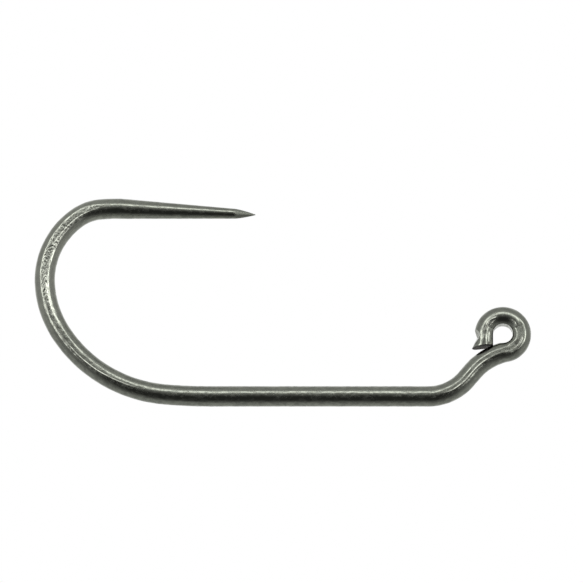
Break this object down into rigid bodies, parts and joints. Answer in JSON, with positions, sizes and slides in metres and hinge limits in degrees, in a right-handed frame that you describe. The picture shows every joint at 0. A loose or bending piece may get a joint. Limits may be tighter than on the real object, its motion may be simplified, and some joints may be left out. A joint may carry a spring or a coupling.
{
  "type": "jig hook",
  "caption": "Barbless jig hook of bent round wire: a ring eye on a raised neck, a straight shank, a wide forged bend and a tapered spear ending in a needle point.",
  "frame": {"origin": "centre of the eye's hole", "axes": "+X along the shank from the bend towards the eye, +Z towards the side the point is on, +Y across the plane of the wire"},
  "size_m": [0.0158, 0.0006, 0.0068],
  "materials": {
    "black_nickel": "glossy black-nickel plating on drawn carbon-steel wire",
    "forged_black_nickel": "black-nickel plating over forged sides, finely pitted"
  },
  "bodies": {
    "root": {"eye": "black_nickel", "neck": "black_nickel", "shank": "black_nickel", "heel_bend": "forged_black_nickel", "front_bend": "forged_black_nickel", "spear": "black_nickel", "point": "black_nickel"}
  },
  "joints": []
}
